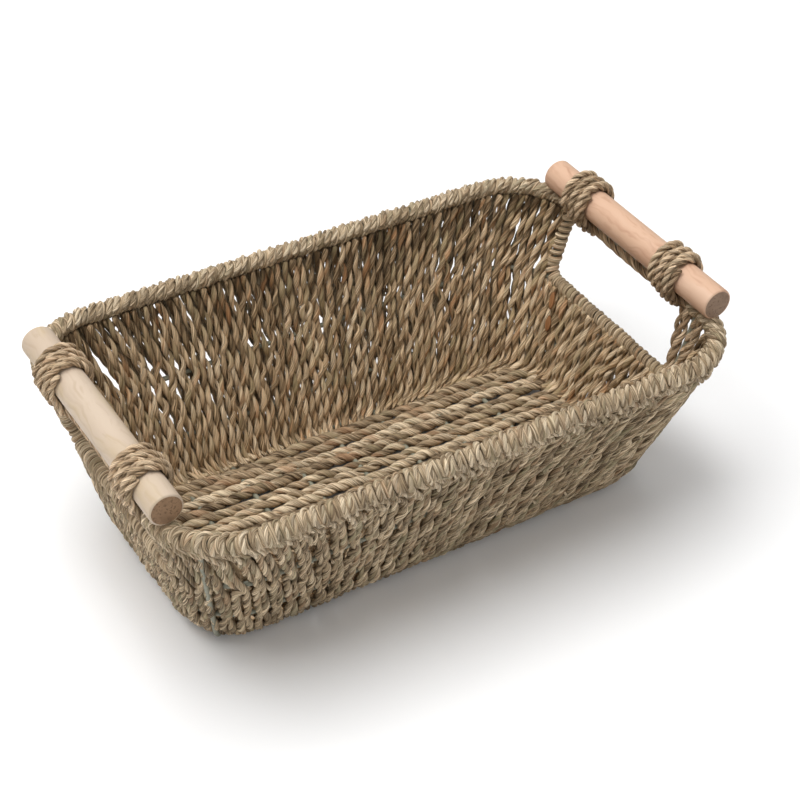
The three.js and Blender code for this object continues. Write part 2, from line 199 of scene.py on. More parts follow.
# ------------------------------------------------------------------ wall surface
class Wall:
    """Middle surface of the wall as stacked rounded rectangles.

    On the slope the half length, half width and corner radius go evenly from the foot's to the rim's.
    At the foot they follow a rounding: reach = radius * cos(angle) and height = centre - radius * sin(angle).
    """

    def __init__(self, shape):
        self.foot = np.array([shape.foot_length / 2, shape.foot_width / 2, shape.foot_corner])
        self.rim = np.array([RIM_A, RIM_B, shape.rim_corner])
        self.radius = shape.rounding
        self.centre = shape.rounding_height
        self.tuck = shape.tuck
        spread = (RIM_A + RIM_B - self.foot[0] - self.foot[1]) / 2 - self.radius
        self.lean = np.arctan2(spread, RIM_Z - self.centre)
        self.bend = self.centre - self.radius * np.sin(self.lean)

    def slope(self, heights):
        """Levels on the slope: rows of half length, half width, corner radius, height and lean."""
        heights = np.asarray(heights, float)
        share = ((heights - self.bend) / (RIM_Z - self.bend))[:, None]
        start = self.foot + self.radius * np.cos(self.lean)
        sizes = start + (self.rim - start) * share
        return np.column_stack([sizes, heights, np.full(len(heights), self.lean)])

    def round_foot(self, angles):
        """Levels on the rounding at the foot, one for each angle below the horizontal."""
        angles = np.asarray(angles, float)
        sizes = self.foot + (self.radius * np.cos(angles))[:, None]
        return np.column_stack([sizes, self.centre - self.radius * np.sin(angles), angles])

    def levels(self, top, slope_steps, foot_steps):
        """Levels from the top height down the slope and round the foot."""
        slope = self.slope(np.linspace(top, self.bend, slope_steps, endpoint=False))
        foot = self.round_foot(np.linspace(self.lean, self.tuck, foot_steps))
        return np.vstack([slope, foot])

    def seam(self, levels):
        """Distance from an end's middle to the hand hole's post, drawn in below the upper hoop."""
        drop = np.clip((UPPER_Z - levels[:, 3]) / (UPPER_Z - self.bend), 0, 1)
        return POST_Y + (self.foot[1] - self.foot[2] / 2 - POST_Y) * drop

    def quarter(self, levels):
        """Distance along a level from an end's middle to a long side's middle."""
        return levels[:, 1] - levels[:, 2] + np.pi / 2 * levels[:, 2] + levels[:, 0] - levels[:, 2]

    def place(self, levels, along, sx, sy):
        """Points and outward directions at distances along the levels.

        A point goes straight to the corner, round it by distance / radius, then straight along the side."""
        a, b, c, z, lean = (levels[..., i] for i in range(5))
        sign = np.where(along < 0, -1.0, 1.0) * sy
        run = np.abs(along)
        turn = np.clip((run - (b - c)) / c, 0, np.pi / 2)
        past = np.maximum(run - (b - c) - np.pi / 2 * c, 0)
        x = (a - c + c * np.cos(turn) - past) * sx
        y = (np.minimum(run, b - c) + c * np.sin(turn)) * sign
        flat = np.stack([np.cos(turn) * sx, np.sin(turn) * sign], axis=-1)
        out = np.concatenate([flat * np.cos(lean)[..., None], -np.sin(lean)[..., None]], axis=-1)
        return np.stack([x, y, z + 0 * x], axis=-1), out


# ------------------------------------------------------------------ strands
def tube_faces(stations, sides, closed=False):
    """Quads between a tube's rings, and the triangles to the two poles, numbered after the rings.

    A closed tube joins its last ring to its first and has no poles."""
    base = np.arange(stations)[:, None] * sides + np.arange(sides)
    follow = np.roll(base, -1, axis=1)
    if closed:
        after, after_follow = np.roll(base, -1, axis=0), np.roll(follow, -1, axis=0)
        quads = np.stack([base, after, after_follow, follow], axis=-1).reshape(-1, 4)
        return quads, np.zeros((0, 3), np.int64)
    quads = np.stack([base[:-1], base[1:], follow[1:], follow[:-1]], axis=-1).reshape(-1, 4)
    first, last = np.full(sides, stations * sides), np.full(sides, stations * sides + 1)
    caps = [np.stack([first, base[0], follow[0]], axis=-1), np.stack([last, follow[-1], base[-1]], axis=-1)]
    return quads, np.concatenate(caps)


def sweep(paths, outward, wide, thick, sides, rng, closed=False):
    """Tubes along paths, each section the oval  wide*cos(t)*sideways + thick*sin(t)*outward.

    paths and outward are (tubes, stations, 3); wide and thick are (tubes, stations).
    An open tube's ends draw in to a point. Returns the arrays that piece() takes."""
    tubes, stations = paths.shape[:2]
    if closed:
        tangent = unit(np.roll(paths, -1, axis=1) - np.roll(paths, 1, axis=1))
    else:
        tangent = unit(np.gradient(paths, axis=1))
    up = unit(outward - (outward * tangent).sum(-1, keepdims=True) * tangent)
    sideways = np.cross(tangent, up)
    turn = np.arange(sides) * 2 * np.pi / sides
    wide, thick = (np.broadcast_to(v, (tubes, stations)) for v in (wide, thick))
    ring = (
        paths[:, :, None]
        + (wide[..., None] * np.cos(turn))[..., None] * sideways[:, :, None]
        + (thick[..., None] * np.sin(turn))[..., None] * up[:, :, None]
    )
    run = run_lengths(paths)
    grain = np.stack(
        np.broadcast_arrays(np.cos(turn), np.sin(turn), 35 * run[..., None]), axis=-1
    ) + rng.uniform(0, 60, (tubes, 1, 1, 3))
    points = ring.reshape(tubes, stations * sides, 3)
    grains = grain.reshape(tubes, stations * sides, 3)
    quads, caps = tube_faces(stations, sides, closed)
    count = stations * sides
    if not closed:
        tip = 0.6 * np.minimum(wide, thick)[..., None] * tangent
        poles = np.stack([paths[:, 0] - tip[:, 0], paths[:, -1] + tip[:, -1]], axis=1)
        points = np.concatenate([points, poles], axis=1)
        ends = np.stack([grain[:, 0].mean(1), grain[:, -1].mean(1)], axis=1)
        grains = np.concatenate([grains, ends], axis=1)
        count += 2
    shift = (np.arange(tubes) * count)[:, None, None]
    tone = np.repeat(rng.uniform(0, 1, tubes), count)
    return {
        "points": points.reshape(-1, 3),
        "quads": (quads + shift).reshape(-1, 4),
        "triangles": (caps + shift).reshape(-1, 3),
        "grain": grains.reshape(-1, 3),
        "tone": tone,
    }


def twisted(paths, outward, plies, lay, start, reach_out, reach_side):
    """Paths of the plies of right-handed twisted cords.

    A ply stands off the cord's line by  reach_out*cos(p)*outward + reach_side*sin(p)*sideways,
    where p = 2 pi (run / lay + ply / plies) + start and sideways = tangent x outward."""
    tangent = unit(np.gradient(paths, axis=1))
    out = unit(outward - (outward * tangent).sum(-1, keepdims=True) * tangent)
    side = np.cross(tangent, out)
    turns = run_lengths(paths) / lay
    own = (np.arange(plies) / plies)[None, :, None]
    phase = 2 * np.pi * (turns[:, None] + own) + start[:, None, None]
    reach_out = np.broadcast_to(reach_out, turns.shape)[:, None, :, None]
    reach_side = np.broadcast_to(reach_side, turns.shape)[:, None, :, None]
    offset = (
        reach_out * np.cos(phase)[..., None] * out[:, None]
        + reach_side * np.sin(phase)[..., None] * side[:, None]
    )
    stations = paths.shape[1]
    return (paths[:, None] + offset).reshape(-1, stations, 3), unit(offset).reshape(-1, stations, 3)


def plied(paths, outward, rng, plies, ply, lay, flat=1.0, sides=7, pinch=None, fullness=1.0, leaf=0.1):
    """A row of twisted cords with each ply's size wandering by about a tenth.

    A ply swells towards the cord's face by  1 + leaf * (its direction . outward)."""
    cords, stations = paths.shape[:2]
    start = rng.uniform(0, 2 * np.pi, cords)
    own_lay = (lay * rng.uniform(0.88, 1.14, cords))[:, None]
    reach = ply * fullness * (1 + wander(rng, cords, stations, 6, 0.12))
    if pinch is not None:
        reach = reach * pinch
    lines, radial = twisted(paths, outward, plies, own_lay, start, reach * flat, reach)
    size = ply * (1 + wander(rng, cords * plies, stations, 9, 0.14))
    size = size * rng.uniform(0.9, 1.1, (cords * plies, 1))
    front = (radial * np.repeat(unit(outward), plies, axis=0)).sum(-1)
    size = size * (1 + leaf * front)
    return sweep(lines, radial, size * 1.12, size * 0.88, sides, rng)


def merge(parts):
    """One set of mesh arrays from several."""
    shifts = np.cumsum([0] + [len(p["points"]) for p in parts])
    return {
        "points": np.concatenate([p["points"] for p in parts]),
        "quads": np.concatenate([p["quads"] + s for p, s in zip(parts, shifts)]),
        "triangles": np.concatenate([p["triangles"] + s for p, s in zip(parts, shifts)]),
        "grain": np.concatenate([p["grain"] for p in parts]),
        "tone": np.concatenate([p["tone"] for p in parts]),
    }


def piece(name, shape, material, nodes):
    """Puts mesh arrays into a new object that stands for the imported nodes."""
    mesh = bpy.data.meshes.new(name)
    quads, triangles = shape["quads"], shape["triangles"]
    mesh.vertices.add(len(shape["points"]))
    mesh.vertices.foreach_set("co", shape["points"].astype(np.float32).ravel())
    mesh.loops.add(quads.size + triangles.size)
    corners = np.concatenate([quads.ravel(), triangles.ravel()])
    mesh.loops.foreach_set("vertex_index", corners.astype(np.int32))
    mesh.polygons.add(len(quads) + len(triangles))
    starts = np.concatenate([np.arange(len(quads)) * 4, quads.size + np.arange(len(triangles)) * 3])
    mesh.polygons.foreach_set("loop_start", starts.astype(np.int32))
    mesh.polygons.foreach_set("use_smooth", np.ones(len(starts), bool))
    mesh.update(calc_edges=True)
    for name_of, kind, field in (("grain", "FLOAT_VECTOR", "vector"), ("tone", "FLOAT", "value")):
        attribute = mesh.attributes.new(name_of, kind, "POINT")
        attribute.data.foreach_set(field, shape[name_of].astype(np.float32).ravel())
    mesh.materials.append(material)
    made = bpy.data.objects.new(name, mesh)
    bpy.context.scene.collection.objects.link(made)
    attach(made, "root")
    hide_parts(*nodes)
    return made


# ------------------------------------------------------------------ shader groups
def new_group(name, inputs, outputs):
    """An empty shader group with named sockets."""
    group = bpy.data.node_groups.new(name, "ShaderNodeTree")
    for socket, kind, default in inputs:
        made = group.interface.new_socket(socket, in_out="INPUT", socket_type=kind)
        if default is not None:
            made.default_value = default
    for socket, kind in outputs:
        group.interface.new_socket(socket, in_out="OUTPUT", socket_type=kind)
    return group, group.nodes.new("NodeGroupInput"), group.nodes.new("NodeGroupOutput")


def add_node(tree, kind, **settings):
    """A node with its properties set; a setting named by a number is an input's value."""
    node = tree.nodes.new(kind)
    for key, value in settings.items():
        if key.startswith("in_"):
            node.inputs[int(key[3:])].default_value = value
        else:
            setattr(node, key, value)
    return node


def noise(tree, source, scale, stretch, detail=2.0):
    """Noise on a stretched source; returns the factor's socket."""
    mapping = add_node(tree, "ShaderNodeMapping", in_3=stretch)
    texture = add_node(tree, "ShaderNodeTexNoise", noise_dimensions="3D")
    texture.inputs["Scale"].default_value = scale
    texture.inputs["Detail"].default_value = detail
    tree.links.new(source, mapping.inputs[0])
    tree.links.new(mapping.outputs[0], texture.inputs["Vector"])
    return texture.outputs[0]


def remap(tree, value, low, high, to_low=0.0, to_high=1.0):
    """Value carried from one range to another, held at both ends."""
    limits = {"in_1": low, "in_2": high, "in_3": to_low, "in_4": to_high}
    node = add_node(tree, "ShaderNodeMapRange", clamp=True, **limits)
    tree.links.new(value, node.inputs[0])
    return node.outputs[0]


def feed(tree, socket, value):
    """Links an output to an input, or sets a number or a colour on it."""
    if isinstance(value, bpy.types.NodeSocket):
        tree.links.new(value, socket)
    else:
        socket.default_value = (*value, 1) if isinstance(value, tuple) else value


def mixed(tree, share, first, second):
    """Colour mix of two sockets or colours."""
    node = add_node(tree, "ShaderNodeMix", data_type="RGBA")
    for index, value in ((0, share), (6, first), (7, second)):
        feed(tree, node.inputs[index], value)
    return node.outputs[2]


def math_node(tree, operation, first, second):
    """Sum, product or other operation of sockets or numbers."""
    node = add_node(tree, "ShaderNodeMath", operation=operation)
    feed(tree, node.inputs[0], first)
    feed(tree, node.inputs[1], second)
    return node.outputs[0]


def seagrass_group():
    """Dried leaf strand: fibres and creases along it with painted shade darkening the creases, patches of rust
    and green, a tone for each ply.
    """
    color, value, vector = "NodeSocketColor", "NodeSocketFloat", "NodeSocketVector"
    group, given, made = new_group(
        "Seagrass Strand",
        [("Grain", vector, None), ("Tone", value, 0.5), ("Pale", color, None), ("Mid", color, None),
         ("Deep", color, None), ("Rust", color, None), ("Green", color, None),
         ("Rust Share", value, 0.5), ("Green Share", value, 0.5), ("Painted Crease Shade", value, 0.7)],
        [("Color", color), ("Roughness", value), ("Height", value)],
    )
    grain = given.outputs["Grain"]
    fine = noise(group, grain, 3.6, (1, 1, 0.9), 3)
    folds = noise(group, grain, 1.25, (1, 1, 0.35), 1)
    patches = noise(group, grain, 0.9, (0.35, 0.35, 1.6), 2)
    other = noise(group, grain, 0.8, (0.3, 0.3, 1.1), 1)
    ridges = noise(group, grain, 1.9, (1, 1, 0.22), 1)

    def calc(operation, first, second):
        return math_node(group, operation, first, second)

    def times(first, second):
        return calc("MULTIPLY", first, second)

    level = calc("ADD", times(fine, 0.75), times(folds, 0.55))
    level = calc("ADD", level, times(given.outputs["Tone"], 0.34))
    shade = mixed(group, remap(group, level, 0.52, 0.78), given.outputs["Deep"], given.outputs["Mid"])
    shade = mixed(group, remap(group, level, 0.78, 1.06), shade, given.outputs["Pale"])
    off_middle = calc("ABSOLUTE", calc("SUBTRACT", ridges, 0.5), 0.0)
    crease = remap(group, off_middle, 0.0, 0.055, 1.0, 0.0)
    # Painted shade: the thin crease lines, which the bump also sinks, are darkened towards the Deep colour.
    shade = mixed(group, times(crease, given.outputs["Painted Crease Shade"]), shade, given.outputs["Deep"])
    rust = times(remap(group, patches, 0.56, 0.70), given.outputs["Rust Share"])
    green = times(remap(group, other, 0.54, 0.68), given.outputs["Green Share"])
    shade = mixed(group, rust, shade, given.outputs["Rust"])
    shade = mixed(group, green, shade, given.outputs["Green"])
    rough = remap(group, fine, 0.3, 0.7, 0.78, 0.56)
    height = calc("ADD", times(fine, 0.8), folds)
    height = calc("SUBTRACT", height, times(crease, 0.55))
    for socket, source in (("Color", shade), ("Roughness", rough), ("Height", height)):
        group.links.new(source, made.inputs[socket])
    return group


def wood_group():
    """Planed wood: long streaks along Y, a slow drift of tone and warm patches."""
    color, value, vector = "NodeSocketColor", "NodeSocketFloat", "NodeSocketVector"
    group, given, made = new_group(
        "Dowel Wood",
        [("Place", vector, None), ("Base", color, None), ("Streak", color, None), ("Warm", color, None),
         ("Streak Share", value, 0.5), ("Warm Share", value, 0.5)],
        [("Color", color), ("Roughness", value), ("Height", value)],
    )
    swirl = add_node(group, "ShaderNodeTexNoise", noise_dimensions="3D")
    swirl.inputs["Scale"].default_value = 45
    group.links.new(given.outputs["Place"], swirl.inputs["Vector"])
    push = add_node(group, "ShaderNodeVectorMath", operation="SCALE")
    group.links.new(swirl.outputs["Color"], push.inputs[0])
    push.inputs["Scale"].default_value = 0.012
    moved = add_node(group, "ShaderNodeVectorMath", operation="ADD")
    group.links.new(given.outputs["Place"], moved.inputs[0])
    group.links.new(push.outputs[0], moved.inputs[1])
    place = moved.outputs[0]
    lines = noise(group, place, 420, (1, 0.045, 1), 3)
    bands = noise(group, place, 120, (1, 0.09, 1), 2)
    drift = noise(group, place, 34, (1, 0.6, 1), 1)
    share = math_node(group, "MULTIPLY", remap(group, lines, 0.5, 0.72), given.outputs["Streak Share"])
    shade = mixed(group, share, given.outputs["Base"], given.outputs["Streak"])
    band = math_node(group, "MULTIPLY", remap(group, bands, 0.5, 0.72), given.outputs["Warm Share"])
    shade = mixed(group, band, shade, given.outputs["Warm"])
    tint = math_node(group, "MULTIPLY", remap(group, drift, 0.5, 0.75), 0.4)
    shade = mixed(group, tint, shade, given.outputs["Streak"])
    rough = remap(group, lines, 0.3, 0.7, 0.5, 0.62)
    for socket, source in (("Color", shade), ("Roughness", rough), ("Height", lines)):
        group.links.new(source, made.inputs[socket])
    return group


def shared_group(name, build):
    """The shader group of this name, built the first time it is wanted."""
    return bpy.data.node_groups.get(name) or build()


def surface(name, roughness):
    """A material with its own shader, and that shader."""
    material = bpy.data.materials.new(name)
    material.use_nodes = True
    shader = material.node_tree.nodes["Principled BSDF"]
    shader.inputs["Roughness"].default_value = roughness
    return material, shader


def bump(material, shader, height, strength, distance):
    """Height carried to the shader's normal."""
    tree = material.node_tree
    node = add_node(tree, "ShaderNodeBump")
    node.inputs["Strength"].default_value = strength
    node.inputs["Distance"].default_value = distance
    tree.links.new(height, node.inputs["Height"])
    tree.links.new(node.outputs["Normal"], shader.inputs["Normal"])


def show(material, shader, group, strength, distance):
    """A placed group's colour, roughness and height carried to the shader."""
    material.node_tree.links.new(group.outputs["Color"], shader.inputs["Base Color"])
    material.node_tree.links.new(group.outputs["Roughness"], shader.inputs["Roughness"])
    bump(material, shader, group.outputs["Height"], strength, distance)


STRAND_INPUTS = ("Pale", "Mid", "Deep", "Rust", "Green", "Rust Share", "Green Share", "Painted Crease Shade")
# Each entry: Pale, Mid, Deep, Rust and Green colours, Rust Share, Green Share, and the share of painted shade
# in the creases.
SEAGRASS = {
    "outside_strands": (
        (0.92, 0.735, 0.5), (0.47, 0.345, 0.208), (0.075, 0.048, 0.022),
        (0.5, 0.28, 0.15), (0.38, 0.33, 0.195), 0.4, 0.6, 0.95),
    # Inside cords: their own more saturated orange-brown, brightened as painted light for the light that falls
    # into the basket onto the inner wall.
    "inside_strands": (
        (0.95, 0.76, 0.52), (0.66, 0.465, 0.27), (0.095, 0.055, 0.022),
        (0.62, 0.3, 0.13), (0.44, 0.35, 0.185), 0.5, 0.5, 0.7),
    "rim_strands": (
        (0.98, 0.81, 0.58), (0.5, 0.37, 0.228), (0.09, 0.055, 0.026),
        (0.56, 0.35, 0.2), (0.44, 0.375, 0.225), 0.45, 0.4, 0.6),
    "floor_strands": (
        (0.93, 0.76, 0.53), (0.47, 0.34, 0.205), (0.06, 0.034, 0.014),
        (0.5, 0.27, 0.14), (0.4, 0.33, 0.19), 0.5, 0.4, 0.7),
    "rust_leaf": (
        (0.46, 0.23, 0.1), (0.33, 0.14, 0.05), (0.17, 0.07, 0.025),
        (0.4, 0.17, 0.06), (0.38, 0.2, 0.08), 0.5, 0.2, 0.3),
    "lashing_strands": (
        (0.92, 0.7, 0.47), (0.5, 0.345, 0.205), (0.075, 0.045, 0.02),
        (0.52, 0.3, 0.16), (0.4, 0.33, 0.195), 0.4, 0.3, 0.7),
}


def seagrass(name):
    """Seagrass material with its own colours."""
    found = bpy.data.materials.get(name)
    if found:
        return found
    material, shader = surface(name, 0.7)
    tree = material.node_tree
    group = add_node(tree, "ShaderNodeGroup", node_tree=shared_group("Seagrass Strand", seagrass_group))
    grain = add_node(tree, "ShaderNodeAttribute", attribute_name="grain")
    tone = add_node(tree, "ShaderNodeAttribute", attribute_name="tone")
    tree.links.new(grain.outputs["Vector"], group.inputs["Grain"])
    tree.links.new(tone.outputs["Fac"], group.inputs["Tone"])
    for socket, value in zip(STRAND_INPUTS, SEAGRASS[name]):
        feed(tree, group.inputs[socket], value)
    show(material, shader, group, 0.9, 0.0008)
    shader.inputs["Specular IOR Level"].default_value = 0.3
    return material


def wood(name, base, streak, warm, streak_share, warm_share):
    """Dowel material: streaked wood."""
    material, shader = surface(name, 0.55)
    tree = material.node_tree
    group = add_node(tree, "ShaderNodeGroup", node_tree=shared_group("Dowel Wood", wood_group))
    place = add_node(tree, "ShaderNodeTexCoord")
    tree.links.new(place.outputs["Object"], group.inputs["Place"])
    sockets = ("Base", "Streak", "Warm", "Streak Share", "Warm Share")
    for socket, value in zip(sockets, (base, streak, warm, streak_share, warm_share)):
        feed(tree, group.inputs[socket], value)
    show(material, shader, group, 0.15, 0.0003)
    return material


def end_grain(name, base, ring):
    """Sawn end of a dowel: clouds and dark pores."""
    material, shader = surface(name, 0.8)
    tree = material.node_tree
    place = add_node(tree, "ShaderNodeTexCoord").outputs["Object"]
    pores = noise(tree, place, 900, (1, 0.2, 1), 2)
    cloud = noise(tree, place, 160, (1, 0.2, 1), 2)
    clouded = remap(tree, cloud, 0.45, 0.7, 0, 0.6)
    share = math_node(tree, "MAXIMUM", remap(tree, pores, 0.52, 0.66), clouded)
    tree.links.new(mixed(tree, share, base, ring), shader.inputs["Base Color"])
    bump(material, shader, pores, 0.3, 0.0003)
    return material


def coated_wire():
    """Grey-green coated wire with a little wear."""
    material, shader = surface("wire_coating", 0.45)
    tree = material.node_tree
    place = add_node(tree, "ShaderNodeTexCoord").outputs["Object"]
    scuffs = noise(tree, place, 260, (1, 1, 1), 3)
    shade = mixed(tree, remap(tree, scuffs, 0.45, 0.7), (0.25, 0.245, 0.18), (0.15, 0.15, 0.11))
    tree.links.new(shade, shader.inputs["Base Color"])
    tree.links.new(remap(tree, scuffs, 0.3, 0.7, 0.38, 0.58), shader.inputs["Roughness"])
    return material


# ------------------------------------------------------------------ wall cords
PINCH_NEAR, PINCH_LEAST = 0.0045, 0.3
SLIT_EDGE, SLIT_WIDE = 0.0007, 0.0036
SLIT_SHIFT = 0.0024
ROPE_AWAY, CORD_AWAY = 0.0021, -0.0018
FOOT_EASE = 0.006
# Painted shade: the inside cords are painted darker from SHADE_START up to the rim, losing up to SHADE_DEPTH of
# their tone.
SHADE_START, SHADE_DEPTH = 0.055, 0.65
REACH_ALONG = {"end": (-POST_Y, POST_Y), "corner": (POST_Y, 0.098), "side": (0.098, 0.22)}
SLIT_COUNT = {"end": 22, "corner": 18, "side": 76}
STUB_COUNT = {"corner": 12, "side": 26}


def wires_pinch(levels):
    """Share that falls from 1 to PINCH_LEAST where a level is close to one of the hoops.

    Each hoop takes away  (1 - least) * exp(-(distance / near)^2)."""
    heights = levels[:, 3]
    gone = sum(np.exp(-((heights - z) / PINCH_NEAR) ** 2) for z in (UPPER_Z, LOWER_Z))
    return 1 - (1 - PINCH_LEAST) * np.clip(gone, 0, 1)


def slits(along, heights, spots, shift):
    """Sideways push that opens slits, u and v being the distances to a spot: the sum over spots of
    reach * tanh(u / edge) * exp(-(u / wide)^2) * exp(-(v / tall)^2)."""
    push = np.zeros_like(along)
    for middle, height, reach, tall in spots:
        u = along - middle - shift
        fade = np.exp(-(u / SLIT_WIDE) ** 2) * np.exp(-((heights - height) / tall) ** 2)
        push += reach * np.tanh(u / SLIT_EDGE) * fade
    return push


def make_wall(name, nodes, wall, settings, sx, sy, part, seed, open_share=0.0):
    """Outside ropes and inside cords of one part of the wall, as two pieces.

    part is 'end', 'corner' or 'side'. Ropes and cords keep their share of the way along at every level.
    Those whose share is under open_share start at the upper hoop, which leaves the wall open above it."""
    rng = np.random.default_rng(seed)
    rim_top = RIM_Z - 0.0035
    reach_along, count = REACH_ALONG[part], SLIT_COUNT[part]
    ceiling = (UPPER_Z if part == "end" else rim_top) - 0.006
    heights = rng.triangular(LOWER_Z, 0.4 * LOWER_Z + 0.6 * ceiling, ceiling, count)
    spots = np.column_stack([rng.uniform(*reach_along, count), heights,
                             rng.uniform(0.0006, 0.0012, count), rng.uniform(0.0045, 0.0085, count)])
    middle = wall.slope([(RIM_Z + wall.bend) / 2])
    side_half = node_box("woven_wall_front")[1][0]

    def rows(pitch):
        """Shares of the way along at which this part's ropes or cords stand."""
        if part == "end":
            count = int(round(2 * POST_Y * 0.96 / pitch))
            return (np.arange(count) + 0.5) / count * 2 - 1
        run = (wall.quarter(middle) - wall.seam(middle))[0]
        count = int(round(run / pitch))
        shares = (np.arange(count) + 0.5) / count
        along = wall.seam(middle) + shares * run
        half_x, half_y, corner = middle[0, :3]
        on_side = half_x - corner - (along - (half_y - corner) - np.pi / 2 * corner) < side_half
        return shares[on_side] if part == "side" else shares[~on_side]

    def layer_shapes(outside, top, steps, chosen, qx, qy):
        """Ropes or cords of one quarter, for the shares chosen, from the top height down."""
        levels = wall.levels(top, steps, 9)
        stations = len(levels)
        seam = wall.seam(levels)
        width = seam if part == "end" else wall.quarter(levels) - seam
        origin = np.zeros(stations) if part == "end" else seam
        foot = np.clip((wall.bend + FOOT_EASE - levels[:, 3]) / FOOT_EASE, 0, 1)
        tight = wires_pinch(levels)
        if outside:
            shares = np.repeat(chosen, 2)
            beside = np.tile([-1.0, 1.0], len(chosen))[:, None] * settings.rope_gap * tight
            away = ROPE_AWAY - 0.0019 * foot
        else:
            shares, beside = chosen, 0.0
            away = CORD_AWAY + 0.0002 * foot
        away = away + wander(rng, len(shares), stations, 8, 0.0006)
        along = origin + shares[:, None] * width + beside + wander(rng, len(shares), stations, 5, 0.0006)
        along = along + rng.uniform(-0.0005, 0.0005, (len(shares), 1))
        shift = SLIT_SHIFT * qx if outside and qy > 0 else 0.0
        along = along + slits(along, levels[:, 3][None], spots, shift)
        points, out = wall.place(np.broadcast_to(levels, (len(shares), stations, 5)), along, qx, qy)
        lines = points + away[..., None] * out
        if outside:
            ply, lay = settings.rope_ply, settings.rope_lay
            return plied(lines, out, rng, 3, ply, lay, 0.9, 7, 0.5 + 0.5 * tight, 1.3, 0.25)
        shape = plied(lines, -out, rng, 2, settings.cord_ply, settings.cord_lay, 1.15, 7, None, 1.0, 0.3)
        # Painted shade: the inside cords darken towards the rim.
        climb = (shape["points"][:, 2] - SHADE_START) / (RIM_Z - SHADE_START)
        shape["tone"] = shape["tone"] - SHADE_DEPTH * np.clip(climb, 0, 1)
        return shape

    for outside in (True, False):
        shares = rows(settings.rope_pitch / (1 if outside else 2))
        shapes = []
        for qx, qy in ((-1.0, sy), (1.0, sy)) if part == "side" else ((sx, sy),):
            if part == "end":
                shapes.append(layer_shapes(outside, UPPER_Z - 0.001, 38, shares, qx, qy))
                continue
            low = shares < open_share
            shapes.append(layer_shapes(outside, rim_top, 56, shares[~low], qx, qy))
            if low.any():
                shapes.append(layer_shapes(outside, UPPER_Z, 38, shares[low], qx, qy))
            if outside:
                number = STUB_COUNT[part]
                hoops = [LOWER_Z, (LOWER_Z + UPPER_Z) / 2, UPPER_Z, (UPPER_Z + RIM_Z) / 2]
                at = rng.choice(hoops, number)
                at = at + rng.uniform(-0.004, 0.004, number)
                shapes.append(stubs(wall, at, rng.uniform(*reach_along, number) * 0.96, qx, qy, rng))
        kind, look = ("ropes", "outside_strands") if outside else ("cords", "inside_strands")
        piece(f"{name}_{kind}", merge(shapes), seagrass(look), nodes)


def stubs(wall, heights, along, sx, sy, rng):
    """Cut ends that stick out between the ropes, as short straight tubes.

    point = start + reach * share * outward + drop * share * up."""
    count, stations = len(along), 4
    levels = np.broadcast_to(wall.slope(heights)[:, None], (count, stations, 5))
    spread = rng.uniform(-0.0012, 0.0012, (count, 1)) * np.linspace(0, 1, stations)
    points, out = wall.place(levels, along[:, None] + spread, sx, sy)
    reach = rng.uniform(0.0028, 0.0043, (count, 1)) * np.linspace(0, 1, stations)
    drop = rng.uniform(-0.0012, 0.0006, (count, 1)) * np.linspace(0, 1, stations)
    lines = points + (0.0002 + reach)[..., None] * out + drop[..., None] * UP
    size = rng.uniform(0.0005, 0.0009, (count, 1))
    shape = sweep(lines, np.broadcast_to(UP, lines.shape), size, size * 0.7, 6, rng)
    shape["tone"] = shape["tone"] + 1.2
    return shape


# ------------------------------------------------------------------ rim and hand holes
def rim_paths(wall, sx, sy, along, radius, first, drops, slant):
    """Lines over the rim in one quarter, each an arc round the rim wire, then a tail down the outside.

    The arc is  wire + radius*(cos(t)*outward + sin(t)*up)  with t from the first angle to -40 degrees;
    the line leans along the rim by  slant * sin(pi * share) - slant * share^2  of its own length's share."""
    count, arc, tail = len(along), 13, 8
    turn = np.radians(np.linspace(first, -40, arc))
    across = radius[:, None] * np.cos(turn)
    up = radius[:, None] * np.sin(turn)
    down = np.linspace(0, 1, tail + 1)[1:]
    drop = drops[:, None] * down
    across = np.concatenate([across, across[:, -1:] - drop * np.tan(wall.lean) - 0.0003 * down], axis=1)
    up = np.concatenate([up, up[:, -1:] - drop], axis=1)
    stations = arc + tail
    share = np.linspace(0, 1, stations)
    lean = np.sin(np.pi * np.clip(share * 1.15, 0, 1)) - share ** 2
    place = along[:, None] - sx * sy * slant[:, None] * lean
    rim = wall.slope([RIM_Z])[0]
    points, out = wall.place(np.broadcast_to(rim, (count, stations, 5)), place, sx, sy)
    flat = out.copy()
    flat[..., 2] = 0
    flat = unit(flat)
    around = across[..., None] * flat + up[..., None] * UP
    outward = unit(around)
    outward[:, arc:] = unit(flat[:, arc:] + 0.2 * UP)
    return points + around, outward, share


def spaced(start, end, pitch, jitter, rng):
    """Even places from start to end about a pitch apart, each moved by up to the jitter."""
    count = int(round((end - start) / pitch))
    return start + (np.arange(count) + 0.5) / count * (end - start) + rng.uniform(-jitter, jitter, count)


